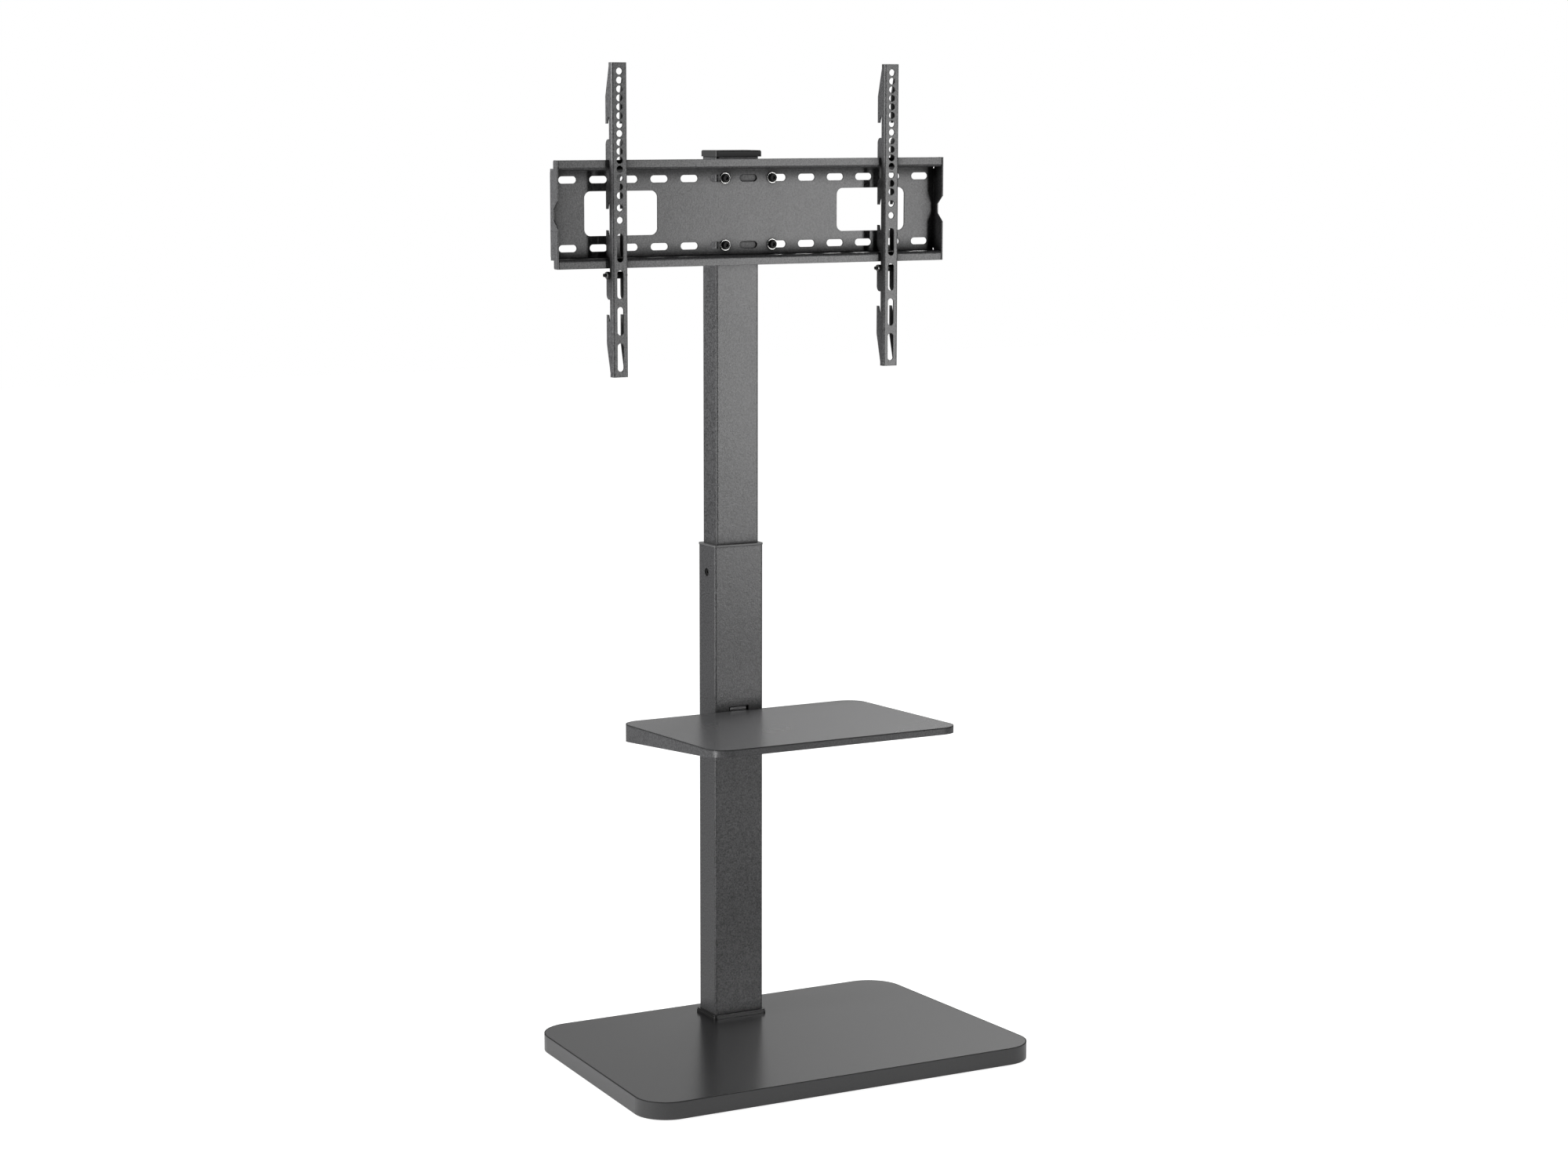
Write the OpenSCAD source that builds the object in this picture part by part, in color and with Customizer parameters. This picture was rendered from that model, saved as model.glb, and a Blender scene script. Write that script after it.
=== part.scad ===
// Floor stand for a flat screen: a board base, a telescoping column with a small shelf,
// and a slotted wall-type plate that carries two hook-on bracket arms.
// The origin is on the floor under the middle of the base, front is -Y and up is +Z.

/* [Base] */
// Width of the base along its front edge
base_front_w = 666; // [560:1:800]
// Width of the base along its back edge
base_back_w = 622; // [520:1:760]
// Depth of the base from front to back
base_d = 446; // [380:1:560]
// Thickness of the base board
base_t = 26; // [22:0.5:40]
// Corner radius at the front of the base
base_front_r = 50; // [20:1:90]
// Corner radius at the back of the base
base_back_r = 55; // [20:1:90]
// Thickness of the band glued round the edge of the board
band_t = 1.5; // [0.8:0.1:3]
// Height of the rubber pads under the base
pad_t = 3; // [2:0.5:8]
// Radius of the rubber pads
pad_r = 15; // [8:1:25]
// Distance from the back edge of the base to the axis of the column
col_back = 65; // [50:1:120]

/* [Column] */
// Width of the lower tube
lower_w = 84; // [81.5:0.5:110]
// Depth of the lower tube
lower_d = 54; // [53:0.5:80]
// Wall of the lower tube
lower_wall = 3; // [2:0.5:3.5]
// Length of the lower tube
lower_l = 740; // [640:1:900]
// Width of the upper tube
upper_w = 73; // [60:0.5:75]
// Depth of the upper tube
upper_d = 45; // [36:0.5:46]
// Wall of the upper tube
upper_wall = 2.5; // [2:0.5:3]
// Length of the upper tube
upper_l = 880; // [760:1:960]
// Length of the upper tube that stands out of the lower one
exposed_l = 594; // [520:1:660]

/* [Shelf] */
// Width of the shelf
shelf_w = 414; // [300:1:520]
// Depth of the shelf
shelf_d = 320; // [220:1:400]
// Height of the shelf's back edge above the floor
shelf_z = 517; // [420:1:600]
// Rise of the shelf from back to front
shelf_rise = 11; // [0:0.5:20]
// Sheet thickness of the shelf
shelf_t = 1.5; // [1:0.1:3]
// Depth of the folded rim at the back of the shelf
shelf_rim_back = 28; // [24:0.5:45]
// Depth of the folded rim at the front of the shelf
shelf_rim_front = 10.5; // [6:0.5:20]
// Corner radius of the shelf
shelf_r = 32; // [10:1:60]

/* [Plate] */
// Length of the wall plate
plate_l = 656; // [560:1:760]
// Height of the wall plate over its lips
plate_h = 158; // [156:1:172]
// Height of the wall plate's channel between the outsides of its folds
channel_h = 133; // [131:1:138]
// Depth of the wall plate from web to lip
plate_d = 27; // [24:0.5:40]
// Sheet thickness of the wall plate
plate_t = 2; // [1.5:0.1:3]
// Distance from the front of the upper tube to the back of the wall plate
standoff = 33.5; // [28:0.5:60]
// Distance from the top of the upper tube down to the middle of the wall plate
plate_drop = 81; // [79:1:200]
// Distance between slots along the plate
slot_pitch = 50; // [40:1:60]
// Number of slots in a row
slot_n = 13; // [9:2:13]
// Distance between the two rows of slots
row_gap = 100; // [90:1:106]
// Length of a slot
slot_l = 29; // [20:0.5:34]
// Width of a slot
slot_w = 10.6; // [9:0.1:12]

/* [Arms] */
// Length of a bracket arm
arm_l = 459; // [440:1:520]
// Width of a bracket arm
arm_w = 24.6; // [20:0.2:30]
// Full depth of an arm's side walls
arm_d = 21.8; // [20:0.1:26]
// Sheet thickness of an arm
arm_t = 2; // [1.5:0.1:3]
// Distance between the hooks of an arm
hook_pitch = 62; // [60:0.5:63]
// Place of the left arm along the plate
left_arm_x = -232; // [-300:1:-60]
// Place of the right arm along the plate
right_arm_x = 229; // [60:1:300]
// Diameter of the round screw holes in an arm
arm_hole_d = 10; // [8:0.1:11]
// Distance between the round holes
arm_hole_pitch = 12.85; // [12:0.05:14]
// Length of the long holes in an arm
arm_slot_l = 41.7; // [30:0.1:44]
// Distance between the long holes
arm_slot_pitch = 53.6; // [50:0.1:56]

/* [Hidden] */
$fn = 48;

// Common small sizes
cut = 1;
thread_gap = 0.05;
hex_sides = 6;
round_fn = 64;

// Base, its pads and what is bolted under it
glue_gap = 0.1;
pad_inset = 42;
under_w = 190;
under_d = 96;
under_t = 3;
under_r = 8;
pocket_gap = 1;
pocket_depth = 11;
base_bolt_r = 4;
base_bolt_l = 28;
base_bolt_head_r = 7.2;
base_bolt_head_h = 5.3;
base_bolt_x = 27;
base_bolt_y = 14;
base_washer_r = 8.5;
base_washer_t = 1.6;
bolt_play = 0.5;
pad_z = pad_t;
floor_z = pad_t + base_t;
side_lean = atan2((base_front_w - base_back_w) / 2, base_d);
mean_half_w = (base_front_w + base_back_w) / 4;

// Foot of the column
foot_plate_t = 5;
collar_low_h = 3.8;
collar_h = 6.5;
collar_rim = 4.7;
collar_step = 1;
collar_play = 0.3;
collar_r = 6;

// Column
lower_r = 3.5;
upper_r = 3;
col_y = base_d / 2 - col_back;
lower_z = floor_z + foot_plate_t;
lower_top = lower_z + lower_l;
upper_top = lower_top + exposed_l;
upper_z = upper_top - upper_l;
lower_in_w = lower_w - 2 * lower_wall;
lower_in_d = lower_d - 2 * lower_wall;
upper_in_w = upper_w - 2 * upper_wall;
upper_in_d = upper_d - 2 * upper_wall;
lower_front = col_y - lower_d / 2;
upper_front = col_y - upper_d / 2;
bush_l = 88;
bush_fit = 0.15;
slide_fit = 0.3;
bush_rim_t = 3;
bush_rim_w = 0.8;
glide_l = 12;
glide_plug_l = 22;
glide_fit = 0.3;
shoe_w = 14;
cap_h = 9.5;
cap_side = 2.5;
cap_back = 0.3;
cap_front = 5.9;
cap_r = 3;
cap_edge = 1.2;
cap_plug_l = 16;
cap_plug_t = 2.5;

// Lock screw in the left wall of the lower tube
lock_drop = 41;
lock_hole_r = 6.4;
lock_fit = 0.1;
lock_sunk = 1.6;
lock_insert_clear = 0.4;
lock_r = 4;
lock_tip_gap = 0.1;
lock_key_r = 2.3;
lock_key_depth = 2.6;
lock_z = lower_top - lock_drop;
lock_insert_in = upper_w / 2 + lock_insert_clear;
lock_insert_out = lower_w / 2 - lock_sunk;
lock_tip = upper_w / 2 + lock_tip_gap;

// Shelf tongue, slot, support and screws
tongue_w = 28;
tongue_t = 1.1;
tongue_up = 6.5;
tongue_play = 0.1;
shelf_slot_w = 34;
shelf_slot_below = 2;
shelf_slot_above = 7;
support_w = 76;
support_t = 2;
support_back_h = 24;
support_front_h = 8;
support_l = 225;
support_lip = 12;
support_gap = 0.05;
shelf_screw_x = 11;
shelf_screw_drop = 16;
shelf_screw_r = 3;
shelf_screw_head_r = 5;
shelf_screw_head_h = 4;
shelf_key_r = 2.3;
shelf_key_depth = 2.4;
shelf_screw_past = 0.6;
shelf_slope = atan2(shelf_rise, shelf_d);
shelf_side_in = shelf_w - 2 * shelf_t;

// Stand-off bracket between the upper tube and the wall plate
bracket_w = 96;
bracket_h = 130;
bracket_t = 3;
bracket_rear_t = 5;
bracket_rear_h = 138;
bracket_cheek_x = 27;
bracket_cheek_h = 120;
bracket_r = 4;
bracket_bolt_x = 40;
bracket_hole_r = 4.5;
bracket_screw_x = 14;
bracket_screw_z = 33;
bracket_screw_r = 3;
bracket_screw_head_r = 5;
bracket_screw_head_h = 6;
bracket_access_r = 6.5;
bracket_nut_r = 5.7;
bracket_nut_h = 5;
bracket_key_r = 2.8;
bracket_key_depth = 3;
web_back = upper_front - standoff;
web_front = web_back - plate_t;
lip_front = web_back - plate_d;
plate_z = upper_top - plate_drop;
bracket_rear_y = upper_front - bracket_rear_t;

// Wall plate
fold_r = 3;
rail_r = 5;
end_relief = 1;
ear_d = 13.5;
ear_r = 3;
notch_open = 40;
notch_floor = 15;
notch_depth = 14.5;
window_x = 213;
window_w = 120;
window_h = 65.5;
window_r = 10;
window_z = 0.3;
plate_bolt_r = 4;
plate_bolt_flange_r = 7;
plate_bolt_flange_h = 1.4;
plate_bolt_head_r = 5.2;
plate_bolt_head_h = 4.6;
plate_bolt_l = 16;
plate_key_r = 2.9;
plate_key_depth = 2.6;
plate_washer_r = 8;
plate_washer_t = 1.6;
plate_nut_r = 7.5;
plate_nut_h = 6.8;

// Bracket arms
arm_r = 2.5;
lip_gap = 0.3;
seat_d = 10.2;
seat_w = 3.5;
mouth_w = 6.4;
hook_l = 9.5;
first_hook = 25;
hook_off = 1.5;
land_l = 30;
land_r = 8;
end_depth = 8.5;
taper_l = 49;
arm_hole_n = 15;
arm_top_hole = 12.7;
arm_low_hole_n = 2;
arm_low_pitch = 18;
arm_slot_start = 40.4;
arm_slot_end = 6;
arm_y = lip_front - lip_gap - seat_d;
hook_z = plate_z + plate_h / 2 - first_hook - hook_pitch;
arm_z = hook_z - hook_off;
arm_holes_l = arm_top_hole + (arm_hole_n - 1) * arm_hole_pitch + arm_low_hole_n * arm_low_pitch;
arm_slots_l = arm_l - arm_holes_l - arm_slot_start - arm_slot_end - arm_slot_l / 2;
arm_slot_n = 1 + floor(arm_slots_l / arm_slot_pitch);

// Screw across each arm that stops it lifting off the plate
safety_r = 2.5;
safety_up = 6;
safety_side = 2.55;
safety_head_r = 4.25;
safety_head_h = 2.6;
safety_key_r = 2.3;
safety_key_depth = 1.4;
safety_ring_r = 4.9;
safety_ring_t = 0.9;
safety_collar_r = 5.3;
safety_collar_l = 4;
safety_end = 4;
safety_sleeve_r = 5.3;
safety_play = 0.2;
safety_y = arm_y + seat_d + safety_side;
safety_z = hook_z - first_hook - hook_pitch + safety_up;

steel_col = [0.27, 0.27, 0.28];
board_col = [0.25, 0.25, 0.26];
band_col = [0.30, 0.30, 0.31];
black_col = [0.06, 0.06, 0.06];
zinc_col = [0.75, 0.75, 0.73];

// A rectangle with round corners about the origin
module round_rect(w, d, r) {
    square([w - 2 * r, d], center = true);
    square([w, d - 2 * r], center = true);
    for (sx = [-1, 1], sy = [-1, 1])
        translate([sx * (w / 2 - r), sy * (d / 2 - r)])
            circle(r, $fn = round_fn);
}

// A closed tube section about the column axis
module tube_section(w, d, wall, r) {
    difference() {
        round_rect(w, d, r);
        round_rect(w - 2 * wall, d - 2 * wall, max(r - wall, wall / 4));
    }
}

// A slot with round ends, along X
module slot_shape(l, w) {
    square([l - w, w], center = true);
    for (s = [-1, 1])
        translate([s * (l - w) / 2, 0])
            circle(w / 2, $fn = round_fn);
}

// A quarter ring for a folded edge, between the +X and +Y directions
module fold_ring(r, t) {
    intersection() {
        difference() {
            circle(r, $fn = round_fn);
            circle(r - t, $fn = round_fn);
        }
        square(r);
    }
}

// Stands what follows along +Y, with its own +Z toward the back
module to_back() {
    rotate([-90, 0, 0])
        children();
}

// Stands what follows along +X
module to_right() {
    rotate([0, 90, 0])
        children();
}

// A socket head screw, its head's seat at the origin and its shank along +Z
module socket_screw(r, l, head_r, head_h, key_r, key_depth) {
    difference() {
        union() {
            cylinder(r = r, h = l);
            translate([0, 0, -head_h])
                cylinder(r = head_r, h = head_h);
        }
        translate([0, 0, -head_h - cut])
            cylinder(r = key_r, h = key_depth + cut, $fn = hex_sides);
    }
}

// A six-sided nut with its bore, standing on the origin
module nut(r, bore_r, h) {
    difference() {
        cylinder(r = r, h = h, $fn = hex_sides);
        translate([0, 0, -cut])
            cylinder(r = bore_r + thread_gap, h = h + 2 * cut);
    }
}

// A flat washer standing on the origin
module washer(r, bore_r, t) {
    difference() {
        cylinder(r = r, h = t);
        translate([0, 0, -cut])
            cylinder(r = bore_r + thread_gap, h = t + 2 * cut);
    }
}

// Half width of the base outline at a place along Y, moved in by a margin
function half_w(y, inset) = mean_half_w - y * tan(side_lean) - inset / cos(side_lean);

// Corner centre of the base outline, for the front (-1) or the back (1)
function base_corner(s, r, inset) =
    let (y = s * (base_d / 2 - inset - r))
    [half_w(y, inset) - r / cos(side_lean), y];

// The base outline, wider in front, with round corners
module base_outline(inset) {
    rf = base_front_r - inset;
    rb = base_back_r - inset;
    cf = base_corner(-1, rf, inset);
    cb = base_corner(1, rb, inset);
    lean = [cos(side_lean), sin(side_lean)];
    right = [[cf[0], cf[1] - rf], cf + rf * lean, cb + rb * lean, [cb[0], cb[1] + rb]];
    left = [for (i = [len(right) - 1:-1:0]) [-right[i][0], right[i][1]]];
    polygon(concat(right, left));
    for (s = [-1, 1]) {
        translate([s * cf[0], cf[1]])
            circle(rf, $fn = round_fn);
        translate([s * cb[0], cb[1]])
            circle(rb, $fn = round_fn);
    }
}

// Repeats what follows at the four bolts of the foot
module at_base_bolts() {
    for (sx = [-1, 1], sy = [-1, 1])
        translate([sx * base_bolt_x, col_y + sy * base_bolt_y, 0])
            children();
}

module base_board() {
    color(board_col)
        difference() {
            translate([0, 0, pad_z])
                linear_extrude(base_t)
                    base_outline(band_t + glue_gap);
            translate([0, col_y, pad_z - cut])
                linear_extrude(pocket_depth + cut)
                    round_rect(under_w + 2 * pocket_gap, under_d + 2 * pocket_gap, under_r + pocket_gap);
            at_base_bolts()
                translate([0, 0, pad_z])
                    cylinder(r = base_bolt_r + bolt_play, h = base_t + cut);
        }
}

module base_edge_band() {
    color(band_col)
        translate([0, 0, pad_z])
            linear_extrude(base_t)
                difference() {
                    base_outline(0);
                    base_outline(band_t);
                }
}

module foot_pads() {
    back_y = base_d / 2 - pad_inset;
    color(black_col) {
        for (sx = [-1, 1], sy = [-1, 1])
            translate([sx * (half_w(sy * back_y, 0) - pad_inset), sy * back_y, 0])
                cylinder(r = pad_r, h = pad_t);
        translate([0, -back_y, 0])
            cylinder(r = pad_r, h = pad_t);
    }
}

under_z = pad_z + pocket_depth - under_t;

module under_plate() {
    color(steel_col)
        difference() {
            translate([0, col_y, under_z])
                linear_extrude(under_t)
                    round_rect(under_w, under_d, under_r);
            at_base_bolts()
                translate([0, 0, under_z - cut])
                    cylinder(r = base_bolt_r + bolt_play, h = under_t + 2 * cut);
        }
}

module base_washers() {
    color(zinc_col)
        at_base_bolts()
            translate([0, 0, under_z - base_washer_t])
                washer(base_washer_r, base_bolt_r, base_washer_t);
}

module base_bolts() {
    color(black_col)
        at_base_bolts()
            translate([0, 0, under_z - base_washer_t]) {
                cylinder(r = base_bolt_r, h = base_bolt_l);
                translate([0, 0, -base_bolt_head_h])
                    cylinder(r = base_bolt_head_r, h = base_bolt_head_h, $fn = hex_sides);
            }
}

module foot_plate() {
    color(steel_col)
        difference() {
            translate([0, col_y, floor_z])
                linear_extrude(foot_plate_t)
                    round_rect(lower_w, lower_d, lower_r);
            at_base_bolts()
                translate([0, 0, floor_z - cut])
                    cylinder(r = base_bolt_r + thread_gap, h = foot_plate_t + 2 * cut);
        }
}

// Moulded collar with a step, round the foot of the lower tube
module foot_collar() {
    low_w = lower_w + 2 * collar_rim;
    low_d = lower_d + 2 * collar_rim;
    color(black_col)
        translate([0, col_y, floor_z])
            difference() {
                union() {
                    linear_extrude(collar_low_h)
                        round_rect(low_w, low_d, collar_r);
                    linear_extrude(collar_h)
                        round_rect(low_w - 2 * collar_step, low_d - 2 * collar_step,
                            collar_r - collar_step);
                }
                translate([0, 0, -cut])
                    linear_extrude(collar_h + 2 * cut)
                        round_rect(lower_w + 2 * collar_play, lower_d + 2 * collar_play,
                            lower_r + collar_play);
            }
}

// The two screw places behind the shelf
module at_shelf_screws() {
    for (s = [-1, 1])
        translate([s * shelf_screw_x, lower_front, shelf_z - shelf_screw_drop])
            children();
}

module lower_column() {
    color(steel_col)
        difference() {
            translate([0, col_y, lower_z])
                linear_extrude(lower_l)
                    tube_section(lower_w, lower_d, lower_wall, lower_r);
            translate([-lower_w / 2 - cut, col_y, lock_z])
                to_right()
                    cylinder(r = lock_hole_r, h = lower_wall + 2 * cut);
            translate([-shelf_slot_w / 2, lower_front - cut, shelf_z - shelf_slot_below])
                cube([shelf_slot_w, lower_wall + 2 * cut, shelf_slot_below + shelf_slot_above]);
            at_shelf_screws()
                translate([0, -cut, 0])
                    to_back()
                        cylinder(r = shelf_screw_r + thread_gap, h = lower_wall + 2 * cut);
        }
}

// Plastic liner and trim in the mouth of the lower tube
module column_bush() {
    color(black_col)
        difference() {
            union() {
                translate([0, col_y, lower_top - bush_l])
                    linear_extrude(bush_l)
                        round_rect(lower_in_w - 2 * bush_fit, lower_in_d - 2 * bush_fit, upper_r);
                translate([0, col_y, lower_top])
                    linear_extrude(bush_rim_t)
                        round_rect(lower_w + 2 * bush_rim_w, lower_d + 2 * bush_rim_w,
                            lower_r + bush_rim_w);
            }
            translate([0, col_y, lower_top - bush_l - cut])
                linear_extrude(bush_l + bush_rim_t + 2 * cut)
                    round_rect(upper_w + 2 * slide_fit, upper_d + 2 * slide_fit, upper_r + slide_fit);
            translate([-lower_w / 2, col_y, lock_z])
                to_right()
                    cylinder(r = lock_hole_r, h = lower_w / 2);
        }
}

// Threaded steel insert for the lock screw
module lock_insert() {
    color(black_col)
        translate([-lock_insert_out, col_y, lock_z])
            to_right()
                difference() {
                    cylinder(r = lock_hole_r - lock_fit, h = lock_insert_out - lock_insert_in);
                    translate([0, 0, -cut])
                        cylinder(r = lock_r + thread_gap, h = lock_insert_out);
                }
}

module lock_screw() {
    color(black_col)
        translate([-lock_insert_out, col_y, lock_z])
            to_right()
                difference() {
                    cylinder(r = lock_r, h = lock_insert_out - lock_tip);
                    translate([0, 0, -cut])
                        cylinder(r = lock_key_r, h = lock_key_depth + cut, $fn = hex_sides);
                }
}

// Side view of a sloping layer under the shelf's top, from its back edge forward
module shelf_layer(top, back_h, front_h, l) {
    slope = tan(shelf_slope);
    polygon([[0, -top], [l, -top + l * slope],
        [l, -top + l * slope - front_h], [0, -top - back_h]]);
}

// Draws a side view, forward to the right and up upward, as a slab across X
module across_shelf(w) {
    translate([-w / 2, lower_front, shelf_z])
        rotate([90, 0, -90])
            translate([0, 0, -w])
                linear_extrude(w)
                    children();
}

// Plan outline of the shelf, moved in by a margin
module shelf_outline(inset) {
    translate([0, lower_front - shelf_d / 2])
        round_rect(shelf_w - 2 * inset, shelf_d - 2 * inset, shelf_r - inset);
}

module shelf_tray() {
    tall = shelf_rim_back + shelf_rise + shelf_z;
    tongue_back = lower_front + lower_wall + tongue_play + tongue_t;
    tongue_z = shelf_z - tongue_t;
    color(steel_col)
        difference() {
            union() {
                intersection() {
                    linear_extrude(tall)
                        shelf_outline(0);
                    across_shelf(shelf_w)
                        shelf_layer(0, shelf_rim_back, shelf_rim_front, shelf_d);
                }
                translate([-tongue_w / 2, lower_front - shelf_t, tongue_z])
                    cube([tongue_w, tongue_back - lower_front + shelf_t, tongue_t]);
                translate([-tongue_w / 2, tongue_back - tongue_t, tongue_z])
                    cube([tongue_w, tongue_t, tongue_up + tongue_t]);
            }
            intersection() {
                linear_extrude(tall)
                    shelf_outline(shelf_t);
                across_shelf(shelf_w)
                    shelf_layer(shelf_t, shelf_rim_back + cut, shelf_rim_back + cut, shelf_d);
            }
            at_shelf_screws()
                translate([0, cut, 0])
                    rotate([90, 0, 0])
                        cylinder(r = shelf_screw_r + bolt_play / 2, h = shelf_t + 2 * cut);
        }
}

// Folded support under the shelf: a back plate and two tapering cheeks
module shelf_support() {
    front = lower_front - shelf_t - support_gap;
    top = shelf_t + support_gap;
    color(steel_col)
        difference() {
            translate([0, front - lower_front, 0])
                intersection() {
                    across_shelf(support_w)
                        shelf_layer(top, support_back_h, support_front_h, support_l);
                    translate([0, 0, shelf_z - shelf_rim_back - cut])
                        linear_extrude(shelf_rim_back + shelf_rise + cut)
                            difference() {
                                translate([-support_w / 2, lower_front - support_l])
                                    square([support_w, support_l]);
                                translate([-support_w / 2 + support_t, lower_front - support_l - cut])
                                    square([support_w - 2 * support_t, support_l - support_t + cut]);
                            }
                }
            at_shelf_screws()
                translate([0, cut, 0])
                    rotate([90, 0, 0])
                        cylinder(r = shelf_screw_r + bolt_play / 2,
                            h = shelf_t + support_t + support_gap + 2 * cut);
        }
}

module shelf_screws() {
    stack = shelf_t + support_gap + support_t;
    color(black_col)
        at_shelf_screws()
            translate([0, -stack, 0])
                to_back()
                    socket_screw(shelf_screw_r, stack + lower_wall + shelf_screw_past,
                        shelf_screw_head_r, shelf_screw_head_h, shelf_key_r, shelf_key_depth);
}

// The four screw places between the stand-off bracket and the upper tube
module at_bracket_screws() {
    for (sx = [-1, 1], sz = [-1, 1])
        translate([sx * bracket_screw_x, upper_front, plate_z + sz * bracket_screw_z])
            children();
}

// The four bolt places between the wall plate and its bracket
module at_plate_bolts() {
    for (sx = [-1, 1], sz = [-1, 1])
        translate([sx * bracket_bolt_x, web_front, plate_z + sz * row_gap / 2])
            children();
}

module upper_column() {
    color(steel_col)
        difference() {
            translate([0, col_y, upper_z])
                linear_extrude(upper_l)
                    tube_section(upper_w, upper_d, upper_wall, upper_r);
            at_bracket_screws()
                translate([0, -cut, 0])
                    to_back()
                        cylinder(r = bracket_screw_r + bolt_play / 2, h = upper_wall + 2 * cut);
        }
}

// Plastic plug with corner shoes that guides the bottom of the upper tube
module column_glide() {
    color(black_col)
        translate([0, col_y, upper_z]) {
            translate([0, 0, -glide_l])
                linear_extrude(glide_l)
                    difference() {
                        round_rect(lower_in_w - 2 * glide_fit, lower_in_d - 2 * glide_fit, upper_r);
                        for (s = [-1, 1]) {
                            translate([0, s * (upper_d + lower_in_d) / 2])
                                square([lower_in_w - 2 * shoe_w, lower_in_d], center = true);
                            translate([s * (upper_w + lower_in_w) / 2, 0])
                                square([lower_in_w, lower_in_d - 2 * shoe_w], center = true);
                        }
                    }
            linear_extrude(glide_plug_l)
                round_rect(upper_in_w - 2 * glide_fit, upper_in_d - 2 * glide_fit, upper_r);
        }
}

// Moulded cap, deeper in front where it also covers the bracket
module top_cap() {
    w = upper_w + 2 * cap_side;
    d = upper_d + cap_front + cap_back;
    color(black_col)
        translate([0, col_y, upper_top]) {
            translate([0, (cap_back - cap_front) / 2, 0]) {
                linear_extrude(cap_h - cap_edge)
                    round_rect(w, d, cap_r);
                translate([0, 0, cap_h - cap_edge])
                    linear_extrude(cap_edge / 2)
                        round_rect(w - cap_edge, d - cap_edge, cap_r - cap_edge / 2);
                translate([0, 0, cap_h - cap_edge / 2])
                    linear_extrude(cap_edge / 2)
                        round_rect(w - 2 * cap_edge, d - 2 * cap_edge, cap_r - cap_edge);
            }
            translate([0, 0, -cap_plug_l])
                linear_extrude(cap_plug_l)
                    tube_section(upper_in_w - 2 * glide_fit, upper_in_d - 2 * glide_fit,
                        cap_plug_t, upper_r);
        }
}

// Weld nuts inside the upper tube
module bracket_nuts() {
    color(zinc_col)
        at_bracket_screws()
            translate([0, upper_wall, 0])
                to_back()
                    nut(bracket_nut_r, bracket_screw_r, bracket_nut_h);
}

module bracket_screws() {
    color(black_col)
        at_bracket_screws()
            translate([0, -bracket_rear_t, 0])
                to_back()
                    socket_screw(bracket_screw_r, bracket_rear_t + upper_wall + bracket_nut_h,
                        bracket_screw_head_r, bracket_screw_head_h, bracket_key_r,
                        bracket_key_depth);
}

// Welded stand-off: a front plate, two cheeks and a rear plate on the tube
module mount_bracket() {
    rear_top = upper_top;
    cheek_d = bracket_rear_y - web_back - bracket_t;
    color(steel_col)
        difference() {
            union() {
                translate([0, web_back, plate_z])
                    to_back()
                        linear_extrude(bracket_t)
                            round_rect(bracket_w, bracket_h, bracket_r);
                translate([-upper_w / 2 + bracket_r, bracket_rear_y, rear_top - bracket_rear_h])
                    cube([upper_w - 2 * bracket_r, bracket_rear_t, bracket_rear_h]);
                for (s = [-1, 1])
                    translate([s * (bracket_cheek_x - bracket_t / 2), web_back + bracket_t + cheek_d / 2,
                        plate_z])
                        cube([bracket_t, cheek_d + bracket_t, bracket_cheek_h], center = true);
            }
            at_plate_bolts()
                to_back()
                    cylinder(r = bracket_hole_r, h = plate_t + bracket_t + cut);
            at_bracket_screws()
                translate([0, -bracket_rear_t - cut, 0])
                    to_back()
                        cylinder(r = bracket_screw_r + bolt_play / 2, h = bracket_rear_t + 2 * cut);
            at_bracket_screws()
                translate([0, web_back - upper_front - cut, 0])
                    to_back()
                        cylinder(r = bracket_access_r, h = bracket_t + 2 * cut);
        }
}

// Side view of one folded rail, depth from the lip forward at 0 and height from the middle
module rail_section() {
    ch = channel_h / 2;
    lip_z = ch - plate_t + rail_r;
    translate([plate_d - plate_t, 0])
        square([plate_t, ch - rail_r]);
    translate([plate_d - rail_r, ch - rail_r])
        fold_ring(rail_r, plate_t);
    translate([rail_r, ch - plate_t])
        square([plate_d - 2 * rail_r, plate_t]);
    translate([rail_r, lip_z])
        mirror([1, 0])
            mirror([0, 1])
                fold_ring(rail_r, plate_t);
    translate([0, lip_z])
        square([plate_t, plate_h / 2 - lip_z]);
}

// Side view of an end wall with its ears and the notch in its front edge
module end_wall_section() {
    ch = channel_h / 2;
    difference() {
        union() {
            translate([0, -ch])
                square([plate_d - fold_r, channel_h]);
            translate([0, -plate_h / 2 + ear_r])
                square([ear_d, plate_h - 2 * ear_r]);
            translate([0, -plate_h / 2])
                square([ear_d - ear_r, plate_h]);
            for (s = [-1, 1])
                translate([ear_d - ear_r, s * (plate_h / 2 - ear_r)])
                    circle(ear_r, $fn = round_fn);
        }
        polygon([[-cut, -notch_open / 2 - cut], [notch_depth, -notch_floor / 2],
            [notch_depth, notch_floor / 2], [-cut, notch_open / 2 + cut]]);
    }
}

// Draws a side view as a slab along X, depth toward the back and height upward
module along_plate(w) {
    translate([-w / 2, lip_front, plate_z])
        rotate([90, 0, 90])
            linear_extrude(w)
                children();
}

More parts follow.
